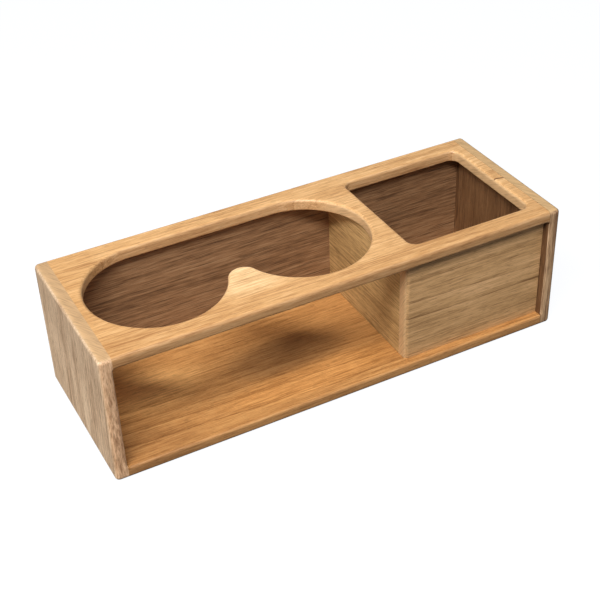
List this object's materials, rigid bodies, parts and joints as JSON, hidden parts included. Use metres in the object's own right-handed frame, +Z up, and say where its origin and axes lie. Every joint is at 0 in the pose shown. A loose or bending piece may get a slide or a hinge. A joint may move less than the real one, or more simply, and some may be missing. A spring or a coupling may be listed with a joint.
{
  "type": "wooden holder box",
  "caption": "Open-fronted wooden holder box with a two-lobed opening in its top, for binoculars, and a square opening over a closed bin.",
  "frame": {"origin": "on the ground at the middle of the base", "axes": "+X along the case towards the bin, +Y from the open front to the back, +Z up"},
  "size_m": [0.332, 0.12, 0.095],
  "materials": {
    "teak_top": "oiled, fine straight grain along the case, honey colour",
    "teak_ends": "oiled, upright grain, grey-brown, end grain along the top and bottom",
    "teak_floor": "oiled, orange-brown, growth lines along the case",
    "teak_back": "oiled, dark brown, coarse pores along the case",
    "teak_divider": "oiled, olive-brown, grain from front to back",
    "teak_bin_front": "oiled, grey-brown, dark growth lines along the case",
    "dowel_wood": "plain beech, unfinished"
  },
  "bodies": {
    "root": {"left_end_panel": "teak_ends", "right_end_panel": "teak_ends", "top_panel": "teak_top", "bottom_panel": "teak_floor", "back_panel": "teak_back", "divider": "teak_divider", "bin_front_panel": "teak_bin_front", "top_left_dowels": "dowel_wood", "top_right_dowels": "dowel_wood", "bottom_left_dowels": "dowel_wood", "bottom_right_dowels": "dowel_wood", "back_left_dowels": "dowel_wood", "back_right_dowels": "dowel_wood", "divider_top_dowels": "dowel_wood", "divider_bottom_dowels": "dowel_wood", "divider_back_dowels": "dowel_wood", "divider_front_dowels": "dowel_wood", "bin_right_dowels": "dowel_wood"}
  },
  "joints": []
}
